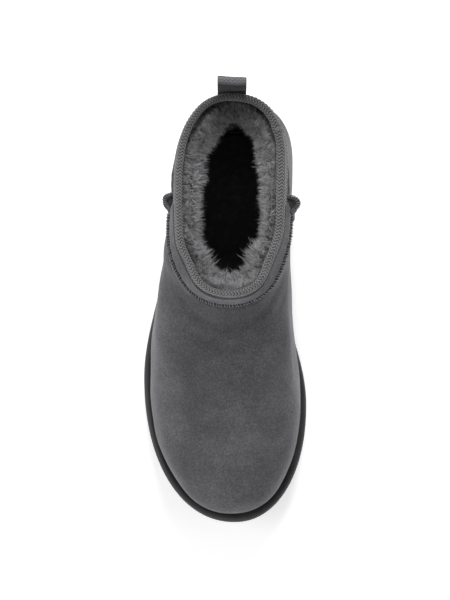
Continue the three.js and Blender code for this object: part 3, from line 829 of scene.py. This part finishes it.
# The tape is pulled thin round the front and lies fuller on the big-toe side. It laps over at the join.
lap = 0.4 * smooth((band_s - join_s) / 0.0015) * smooth((join_s + 0.022 - band_s) / 0.012)
tape_out = GAP + TAPE_THICK - 0.25 * bump_at(band_s, 0.5, 0.1) + 0.35 * bump_at(band_s, 0.76, 0.16) + lap
outer_leg_low = OUTER_LEG_LOW - 0.22 * bump_at(band_s, 0.81, 0.1)
rows = []
for u in np.linspace(0, 1, 9):
    rolled_under = 0.5 * (1 - smooth(u / 0.2))
    rows.append(on_skin(outer_leg_low + (COLLAR - outer_leg_low) * u, band_s, tape_out - rolled_under)[0])
for a in np.linspace(0, math.pi, 13)[1:-1]:
    lift = (FOLD_RISE + lap) * math.sin(a)
    swing = flat_normal * ((LEATHER / 2 + tape_out) * math.cos(a))[:, None]
    rows.append(middle + swing + lift[:, None] * [0, 0, 1])
for t in np.linspace(COLLAR, INNER_LEG_LOW, 5):
    rows.append(on_skin(t, band_s, -LEATHER - tape_out)[0])
rows.append(on_skin(INNER_LEG_LOW, band_s, -LEATHER - 0.2)[0])
rows.append(edge_in + [0, 0, 0.2])
rows.append(edge_out + [0, 0, 0.2])
rows.append(on_skin(outer_leg_low, band_s, 0.2)[0])
band = np.stack(rows)
flutter = 0.2 * waves(band, 9, 31) + 0.16 * waves(band, 22, 32)
band += flat_normal[None] * flutter[..., None] * 0.6
band[..., 2] += 0.5 * flutter
ring_length = np.concatenate([[0], np.cumsum(np.linalg.norm(np.diff(edge_out[:, :2], axis=0), axis=1))])
across = np.concatenate([[0], np.cumsum(np.linalg.norm(np.diff(band[:, 0], axis=0), axis=1))])
band_uv = np.stack(np.meshgrid(ring_length, across), axis=-1)
piece("collar_binding_tape", band.reshape(-1, 3), grid_faces(*band.shape[:2], close_rows=True),
      TAPE, ("collar_binding",), uv=band_uv)

# %% Stitches on the tape
TAPE_STITCH = 2.2
stitch_count = int(ring_length[-1] / TAPE_STITCH)
stitch_rng = np.random.default_rng(33)
stitch_s = np.arange(stitch_count) / stitch_count
half_stitch = 0.36 / stitch_count
paths = []
for share in np.linspace(-1, 1, 5):
    at = stitch_s + share * half_stitch
    sunk = 0.22 * (1 - share**2)
    out = np.interp(at, band_s, tape_out, period=1) + sunk - 0.05
    low = np.interp(at, band_s, outer_leg_low, period=1)
    paths.append(on_skin(low + 0.1, at, out)[0])
stitch_paths = np.stack(paths, axis=1) + stitch_rng.normal(0, 0.04, (stitch_count, 1, 3))
tube_points, tube_faces = tubes(stitch_paths, 0.17)
piece("binding_stitches", tube_points, tube_faces, THREAD)

bar_tack = []
for k in range(5):
    tack_s = join_s + 0.0012 + 0.0009 * (k % 2) + 0.0016 * k
    column = int(tack_s * band_round) % band_round
    crest = band[4:17, column] + [0, 0, 0.12]
    bar_tack.append(crest + flat_normal[column] * np.linspace(0.1, -0.1, len(crest))[:, None])
tube_points, tube_faces = tubes(np.stack(bar_tack), 0.2)
piece("binding_bar_tack", tube_points, tube_faces, THREAD)

# %% [markdown]
# ## Pull loop
# A length of webbing is folded in half, sewn flat to the heel behind the binding, and its fold stands up as a
# loop for a finger. The strip is swept along one smooth line: up the inner layer, over the top and down the
# outer one.

# %% Pull loop
LOOP_HALF_WIDTH = 8.3
LOOP_THICK = 1.3
LOOP_SKEW = 0.45  # the fold is turned a little, big-toe side forwards
foot_y = UPPER[COLLAR - 2][12] + 0.5 + 0.7
route = [
    # y, z up the inner layer, over the fold and down the outer layer
    (foot_y, 110.5), (foot_y, 118), (foot_y + 0.1, 125), (119.3, 129.5), (119.2, 133.5), (118.9, 137.5),
    (119.2, 141), (119.9, 144.5), (120.6, 147.0), (121.8, 148.6), (123.3, 148.4), (124.3, 146.2),
    (123.6, 141.5), (122.7, 137), (121.5, 132.5), (120.7, 128), (foot_y + 1.55, 124), (foot_y + 1.5, 117),
    (foot_y + 1.5, 110.5),
]
knots = np.array(route, float)
stations = np.concatenate([[0], np.cumsum(np.linalg.norm(np.diff(knots, axis=0), axis=1))])
fine = np.linspace(0, stations[-1], 120)
line = np.stack([np.interp(fine, stations, knots[:, k]) for k in (0, 1)], axis=1)
for _ in range(6):
    line[1:-1] = (line[:-2] + 2 * line[1:-1] + line[2:]) / 4
direction = np.gradient(line, axis=0)
direction /= np.linalg.norm(direction, axis=1, keepdims=True)
away = np.stack([-direction[:, 1], direction[:, 0]], axis=1)
section = []
for x in np.linspace(-1, 1, 13):
    section.append((x, -0.5))
for x in np.linspace(1, -1, 13):
    section.append((x, 0.5))
loop_rows = []
loop_x = UPPER[COLLAR][11]
for x, side in section:
    pinch_edge = 1 - 0.55 * abs(x) ** 8
    sag = 0.35 * (1 - x * x)
    offset = side * LOOP_THICK * pinch_edge
    yz = line + away * offset
    rows3 = np.column_stack([np.full(len(yz), loop_x + x * LOOP_HALF_WIDTH), yz])
    rows3[:, 1] -= sag * bump_at(line[:, 1], 146, 6) + LOOP_SKEW * x * smooth((line[:, 1] - 134) / 10)
    loop_rows.append(rows3)
loop_grid = np.stack(loop_rows)
strip_faces = grid_faces(*loop_grid.shape[:2], close_rows=True, close_cols=False)
loop_points, loop_faces = capped(loop_grid, strip_faces)
loop_v = np.array([x * LOOP_HALF_WIDTH + 20 for x, _ in section])
loop_uv = np.stack(np.meshgrid(fine, loop_v), axis=-1)
piece("pull_loop_webbing", loop_points, loop_faces, WEBBING, ("pull_loop",), uv=loop_uv)

# %% [markdown]
# ## Sole
# The sole is one moulding of light foam rubber. Its outline is wider than the upper, so a rounded rim shows
# all the way round. The wall is lofted from a table of steps, and the tread grooves are cut by a boolean.

# %% Foam rubber material
def moulded_foam(name, dark, light):
    """Moulded foam rubber: matt skin with a fine pebble from the mould and a little dust."""
    material, tree, shader = new_material(name)
    place = node(tree, "ShaderNodeTexCoord").outputs["Object"]
    pebble = node(tree, "ShaderNodeTexVoronoi", {"Vector": place}, {"Scale": grains(1.1)},
                  feature="SMOOTH_F1")
    dust = node(tree, "ShaderNodeTexNoise", {"Vector": place},
                {"Scale": grains(9), "Detail": 6, "Roughness": 0.7})
    tone = node(tree, "ShaderNodeValToRGB", {"Fac": dust.outputs["Fac"]}, stops=[(0.35, dark), (0.7, light)])
    tree.links.new(tone.outputs["Color"], shader.inputs["Base Color"])
    skin_bump = node(tree, "ShaderNodeBump", {"Height": pebble.outputs["Distance"]},
                     {"Strength": 0.25, "Distance": 0.2 * MM})
    tree.links.new(skin_bump.outputs[0], shader.inputs["Normal"])
    gloss = node(tree, "ShaderNodeMapRange", {"Value": dust.outputs["Fac"]}, {"To Min": 0.5, "To Max": 0.7})
    tree.links.new(gloss.outputs[0], shader.inputs["Roughness"])
    shader.inputs["IOR"].default_value = 1.5
    shader.inputs["Specular IOR Level"].default_value = 0.4
    return material


FOAM = moulded_foam("moulded_foam_rubber", "1d1d1f", "29292b")

# %% Outsole
SOLE_ROUND = 320
sole_line = outline(SOLE, SOLE_PINCH, SOLE_ROUND)
sole_line = (sole_line + np.roll(sole_line, -1, axis=0)) / 2
sole_along = np.roll(sole_line, -1, axis=0) - np.roll(sole_line, 1, axis=0)
sole_along /= np.linalg.norm(sole_along, axis=1, keepdims=True)
sole_inward = np.stack([-sole_along[:, 1], sole_along[:, 0]], axis=1)
SOLE_WALL = [
    # inset from the outline, height, counted from the bottom or from the top edge
    (7.0, 0.0, "bottom"), (4.6, 0.0, "bottom"), (3.2, 0.25, "bottom"), (2.1, 0.9, "bottom"),
    (1.3, 2.0, "bottom"), (0.8, 3.6, "bottom"), (0.45, 5.5, "bottom"),
    (0.15, -9.0, "top"), (0.05, -7.2, "top"), (0.0, -6.6, "top"), (0.45, -6.3, "top"), (0.45, -5.9, "top"),
    (0.0, -5.6, "top"), (0.0, -4.2, "top"), (0.25, -2.6, "top"), (0.8, -1.2, "top"), (1.7, -0.25, "top"),
    (2.8, 0.15, "top"), (3.9, 0.1, "top"), (5.0, -0.25, "top"), (6.2, -0.7, "top"), (7.4, -1.0, "top"),
    (10.0, -1.0, "top"),
]


def sole_ring(inset, height, base):
    xy = sole_line + sole_inward * inset
    z = (bottom_z(xy[:, 1]) if base == "bottom" else rim_z(xy[:, 1])) + height
    return np.column_stack([xy, z])


sole_grid = np.stack([sole_ring(*step) for step in SOLE_WALL])


def strips(first, count):
    """Quads across a ring of points, from its lateral half to its medial half. They close its end."""
    i = np.arange(count // 2 - 1)
    return first + np.stack([i, i + 1, count - 2 - i, count - 1 - i], axis=1)


top_first = (len(sole_grid) - 1) * SOLE_ROUND
sole_faces = np.concatenate([grid_faces(*sole_grid.shape[:2]), strips(0, SOLE_ROUND)[:, ::-1],
                             strips(top_first, SOLE_ROUND)])
outsole = piece("moulded_outsole", sole_grid.reshape(-1, 3), sole_faces, FOAM, ("outsole",))

# %% Tread grooves
GROOVE_WIDTH = 3.2
GROOVE_DEPTH = 2.4
GROOVE_WAVE = 3.5
GROOVE_BORDER = 9
GROOVE_REACH = 60
GROOVE_BANDS = [(-112, -22, 9), (58, 114, 6)]


def prism(name, plan, low, high):
    """A closed solid from a closed outline in plan, between two heights."""
    count = len(plan)
    points = np.concatenate([np.column_stack([plan, np.full(count, z)]) for z in (low, high)])
    faces = np.concatenate([grid_faces(2, count), strips(0, count)[:, ::-1], strips(count, count)])
    mesh = bpy.data.meshes.new(name)
    mesh.from_pydata((points * MM).tolist(), [], faces.tolist())
    made = bpy.data.objects.new(name, mesh)
    bpy.context.scene.collection.objects.link(made)
    return made


cutters = []
for first, last, count in GROOVE_BANDS:
    for y in np.linspace(first, last, count):
        border = sole_line + sole_inward * GROOVE_BORDER
        near = border[np.abs(border[:, 1] - y) < 3]
        left, right = near[:, 0].min(), near[:, 0].max()
        x = np.linspace(left + 1, right - 1, 40)
        wave = y + GROOVE_WAVE * np.cos(x / GROOVE_REACH * 3 * math.pi)
        low_side = np.column_stack([x, wave - GROOVE_WIDTH / 2])
        high_side = np.column_stack([x, wave + GROOVE_WIDTH / 2])[::-1]
        floor_height = float(bottom_z(np.array([y]))[0])
        plan = np.concatenate([low_side, high_side])
        cutters.append(prism("groove", plan, floor_height - 6, floor_height + GROOVE_DEPTH))
bpy.ops.object.select_all(action="DESELECT")
for cutter in cutters:
    cutter.select_set(True)
bpy.context.view_layer.objects.active = cutters[0]
bpy.ops.object.join()
cutter = cutters[0]
cut = outsole.modifiers.new("grooves", "BOOLEAN")
cut.operation = "DIFFERENCE"
cut.solver = "EXACT"
cut.object = cutter
bpy.context.view_layer.objects.active = outsole
bpy.ops.object.modifier_apply(modifier=cut.name)
bpy.data.objects.remove(cutter)
outsole.data.set_sharp_from_angle(angle=math.radians(50))
print("outsole after cutting:", len(outsole.data.polygons), "faces")

# %% [markdown]
# ## Wool
# Sheepskin wool grows in locks: hundreds of fibres that lean together to one tip. Here each lock is nine to
# twenty-four tapered strands, thicker than real wool so that they show. They stand on a lumpy base that
# follows the frame's inner wall, and reach on into the opening. They are real, closed meshes.

# %% Wool material
def wool(name, root, tip, height_low, height_high, at_heel):
    """Shorn wool: matt and soft. Locks and single fibres differ in tone. Painted shade: darker deep down and
    at the heel.
    """
    material, tree, shader = new_material(name)
    place = node(tree, "ShaderNodeTexCoord").outputs["Object"]
    split = node(tree, "ShaderNodeSeparateXYZ", {"Vector": place})
    depth = node(tree, "ShaderNodeMapRange", {"Value": split.outputs["Z"]},
                 {"From Min": height_low * MM, "From Max": height_high * MM})
    tuft = node(tree, "ShaderNodeTexNoise", {"Vector": place},
                {"Scale": grains(4), "Detail": 4, "Roughness": 0.6})
    fibre = node(tree, "ShaderNodeNewGeometry").outputs["Random Per Island"]
    uneven = node(tree, "ShaderNodeMix", {"A": tuft.outputs["Fac"], "B": fibre}, {"Factor": 0.38})
    # The depth term is painted shade: the wool is darker deeper in the boot.
    mixed = node(tree, "ShaderNodeMix", {"A": uneven.outputs[0], "B": depth.outputs[0]}, {"Factor": 0.4})
    dye = node(tree, "ShaderNodeValToRGB", {"Fac": mixed.outputs[0]}, stops=[(0.35, root), (0.82, tip)])
    # Painted shade towards the heel.
    shaded = shaded_along(tree, dye.outputs["Color"], "Y", 75, 112, 1.0, at_heel)
    tree.links.new(shaded, shader.inputs["Base Color"])
    shader.inputs["Roughness"].default_value = 0.9
    shader.inputs["Specular IOR Level"].default_value = 0.2
    shader.inputs["Sheen Weight"].default_value = 0.2
    shader.inputs["Sheen Roughness"].default_value = 0.4
    return material


# Every wool below has painted shade: darker deep down and towards the heel.
WOOL = wool("grey_wool", "19191a", "bebec0", 72, 124, 0.45)
HEEL_SHADE_WOOL = wool("heel_shade_grey_wool", "121213", "9a9a9c", 92, 128, 0.45)
# The base under the strands is darker than the strands: painted shade among the roots.
WOOL_ROOTS = wool("grey_wool_roots", "161617", "5c5c5e", 70, 124, 0.25)
INSOLE_WOOL = wool("insole_wool", "626264", "b0b0b2", 20, 60, 0.42)

# %% Wool base
def wool_depth(t):
    """Depth of leather and wool: full to just under the collar, where it thins to a short nap."""
    wall = WALL + (LEATHER - WALL) * smooth((t - 8.95) / 0.55)
    return np.maximum(wall, LEATHER + 1.6)


BASE_ROUND = 256
BASE_TOP = 9.56
TUFTS = [
    # height, y, side, rise, half-height, half-width round the boot
    (9.15, 76, "med", 2.6, 0.22, 0.013),
    (9.10, 58, "med", 1.0, 0.25, 0.014),
    (9.10, 30, "lat", 1.2, 0.25, 0.016),
    (9.20, 14, "lat", -2.2, 0.30, 0.008),
]
base_s = np.arange(BASE_ROUND) / BASE_ROUND
base_t = np.concatenate([np.linspace(0, 8.6, 44), np.linspace(8.6, BASE_TOP, 26)[1:]])
base_grid, _ = on_skin(base_t[:, None], base_s[None], -wool_depth(base_t)[:, None])
base_normals = -normals_of(base_grid)
lumps = 1.0 * waves(base_grid, 8, 41) + 0.5 * waves(base_grid, 4, 42)
for height, y, side, rise, half_height, half_width in TUFTS:
    place = float(place_at_y(height, y, side))
    lumps += rise * bump_at(base_t, height, half_height)[:, None] * bump_at(base_s, place, half_width)
base_grid += base_normals * (lumps * smooth((BASE_TOP - base_t) / 0.5)[:, None])[..., None]
behind_t = np.linspace(BASE_TOP, 0, 12)
behind, _ = on_skin(behind_t[:, None], base_s[None], -LEATHER - 0.1)
wool_shell = np.concatenate([behind[::-1], base_grid[::-1]])
piece("wool_base", wool_shell.reshape(-1, 3), grid_faces(*wool_shell.shape[:2], close_rows=True), WOOL_ROOTS)

# %% Wool strands
STRAND_SIDES = 3


def strands(name, roots, tips, bends, radius, material, seed):
    """Closed tapered strands from roots to tips, bent aside at their middle. One mesh."""
    rng = np.random.default_rng(seed)
    count = len(roots)
    middle = (roots + tips) / 2 + bends
    axis = tips - roots
    axis /= np.linalg.norm(axis, axis=1, keepdims=True)
    across = np.cross(axis, rng.normal(size=(count, 3)))
    across /= np.linalg.norm(across, axis=1, keepdims=True)
    over = np.cross(axis, across)
    angle = np.arange(STRAND_SIDES) * 2 * math.pi / STRAND_SIDES
    ring = np.cos(angle)[:, None] * across[:, None] + np.sin(angle)[:, None] * over[:, None]
    size = (radius * rng.uniform(0.7, 1.25, count))[:, None, None]
    points = np.concatenate([
        roots[:, None] + ring * size,
        middle[:, None] + ring * size * 0.75,
        tips[:, None],
    ], axis=1)
    triangles = [(2, 1, 0)]
    for i in range(STRAND_SIDES):
        j = (i + 1) % STRAND_SIDES
        triangles += [(i, j, STRAND_SIDES + j), (i, STRAND_SIDES + j, STRAND_SIDES + i)]
        triangles.append((STRAND_SIDES + i, STRAND_SIDES + j, 2 * STRAND_SIDES))
    stride = 2 * STRAND_SIDES + 1
    faces = (np.array(triangles)[None] + (np.arange(count) * stride)[:, None, None]).reshape(-1, 3)
    return piece(name, points.reshape(-1, 3), faces, material)


def reach_round(s):
    """How far the wool reaches, as a share: cropped at the heel and inner side, long at the front corners."""
    inner_side = smooth((s - MEDIAL_FRONT) / 0.05) * smooth((0.93 - s) / 0.05)
    corners = 0.40 * bump_at(s, LATERAL_FRONT, 0.035) + 0.5 * bump_at(s, MEDIAL_FRONT, 0.035)
    heel = bump_at(s, 0, 0.045) + bump_at(s, 1, 0.045)
    return (1.05 - 0.18 * inner_side + corners + 0.25 * bump_at(s, 0.06, 0.05)) * (1 - 0.55 * heel)


LATERAL_FRONT = float(place_at_y(9.1, 18, "lat"))
MEDIAL_FRONT = float(place_at_y(9.1, 20, "med"))


def lock_field(low_t, high_t, locks, per_lock, seed, length, gather):
    """Roots, tips and bends of the strands of many locks on the wool base between two heights."""
    rng = np.random.default_rng(seed)
    lock_t = rng.uniform(low_t, high_t, locks)
    lock_s = rng.uniform(0, 1, locks)

    def from_base(grid, t, s):
        row = np.interp(t, base_t, np.arange(len(base_t)))
        r0 = np.minimum(row.astype(int), len(base_t) - 2)
        c0 = ((s % 1) * BASE_ROUND).astype(int) % BASE_ROUND
        return grid[r0, c0] + (grid[r0 + 1, c0] - grid[r0, c0]) * (row - r0)[:, None]

    t = np.repeat(lock_t, per_lock)
    s = np.repeat(lock_s, per_lock)
    root_t = np.clip(t + 0.10 * rng.normal(0, 1, len(t)), 0.2, BASE_TOP - 0.02)
    root_s = s + 0.0045 * rng.normal(0, 1, len(t)) + rng.uniform(0, 1 / BASE_ROUND, len(t))
    roots = from_base(base_grid, root_t, root_s)
    normal = from_base(base_normals, root_t, root_s)
    centre = from_base(base_grid, t, s)
    inward = np.array([[UPPER[COLLAR][11], 56.0, 0]]) - centre * [1, 1, 0]
    inward[:, 1] *= 0.35
    inward /= np.linalg.norm(inward, axis=1, keepdims=True)
    lean = np.repeat(rng.normal(0, 0.4, (locks, 3)), per_lock, axis=0)
    heading = 0.55 * normal + 0.75 * inward + lean + rng.normal(0, 0.12, roots.shape)
    heading /= np.linalg.norm(heading, axis=1, keepdims=True)
    lock_length = np.repeat(rng.uniform(0.75, 1.2, locks), per_lock)
    reach = length * lock_length * rng.uniform(0.7, 1.15, len(t)) * reach_round(s % 1)
    tips = roots * (1 - gather) + centre * gather + heading * reach[:, None]
    bends = normal * (0.16 * reach)[:, None] + rng.normal(0, 0.22, roots.shape)
    return roots - normal * 0.6, tips, bends


WOOL_FIELDS = [
    # name, low, high, locks, strands a lock, length, strand radius, gather
    ("wool_collar_a", 9.00, 9.52, 520, 22, 6.2, 0.14, 0.3),
    ("wool_collar_b", 8.75, 9.45, 520, 22, 6.6, 0.14, 0.3),
    ("wool_collar_c", 8.10, 9.10, 440, 22, 6.6, 0.14, 0.3),
    ("wool_wisps", 8.70, 9.52, 1300, 9, 7.4, 0.24, 0.55),
    ("wool_shoulder", 8.90, 9.34, 600, 22, 5.6, 0.14, 0.3),
    ("wool_shaft", 5.60, 8.30, 220, 24, 7.0, 0.18, 0.4),
]
# The wool at the heel is given a darker colour: painted shade. It is a choice of look.
HEEL_Y = 90
HEEL_HALF_WIDTH = 15
for seed, (name, low, high, locks, per_lock, length, radius, gather) in enumerate(WOOL_FIELDS):
    roots, tips, bends = lock_field(low, high, locks, per_lock, 100 + seed, length, gather)
    heel = (roots[:, 1] > HEEL_Y) & (abs(roots[:, 0] - UPPER[COLLAR][11] - 2) < HEEL_HALF_WIDTH)
    # Strands at the heel take the wool with painted shade.
    for part_name, chosen, material in ((name, ~heel, WOOL), (f"{name}_heel", heel, HEEL_SHADE_WOOL)):
        if chosen.any():
            strands(part_name, roots[chosen], tips[chosen], bends[chosen], radius, material,
                    200 + seed)

# %% [markdown]
# ## Insole
# The footbed is taken to be foam board with wool glued on top. It lies deep in the boot, where little light
# reaches. Its colour is a choice, lighter than the frame's own, so that it isn't lost in the dark.

# %% Insole
INSOLE_HEIGHT = 7
INSOLE_ROUND = 200
INSOLE_EDGE = 2
foot_line, foot_normal = on_skin(0, np.arange(INSOLE_ROUND) / INSOLE_ROUND)
foot_normal *= [1, 1, 0]
foot_normal /= np.linalg.norm(foot_normal, axis=1, keepdims=True)
foot_line = foot_line - foot_normal * (WALL + 0.35)
station = np.arange(2, INSOLE_ROUND // 2 - 1)
lateral, medial = foot_line[station], foot_line[-station]
share = (1 - np.cos(np.linspace(0, math.pi, 25))) / 2
level = medial[None] + (lateral - medial)[None] * share[:, None, None]
level[..., 2] = rim_z(level[..., 1])
inwards = np.linalg.norm(lateral - medial, axis=1)[None] * np.minimum(share, 1 - share)[:, None]
crown = INSOLE_HEIGHT - INSOLE_EDGE * (1 - np.sqrt(1 - np.clip(1 - inwards / INSOLE_EDGE, 0, 1) ** 2))
crown += 0.35 * waves(level, 7, 51) * smooth(inwards / 6)
underside = level + [0, 0, 0.4]
topside = (level + crown[..., None] * [0, 0, 1])[::-1]
bed_faces = grid_faces(2 * len(share), len(station), close_rows=True, close_cols=False)
insole_points, insole_faces = capped(np.concatenate([topside, underside]), bed_faces)
insole = piece("wool_insole", insole_points, insole_faces, INSOLE_WOOL, ("insole",))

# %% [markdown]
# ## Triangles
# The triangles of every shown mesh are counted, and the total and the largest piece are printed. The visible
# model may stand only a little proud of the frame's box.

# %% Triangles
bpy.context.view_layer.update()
triangles = {}
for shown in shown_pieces():
    if shown.type == "MESH":
        triangles[shown.name] = sum(len(p.vertices) - 2 for p in shown.data.polygons)
largest = max(triangles, key=triangles.get)
print("triangles:", sum(triangles.values()), "largest:", largest, triangles[largest])
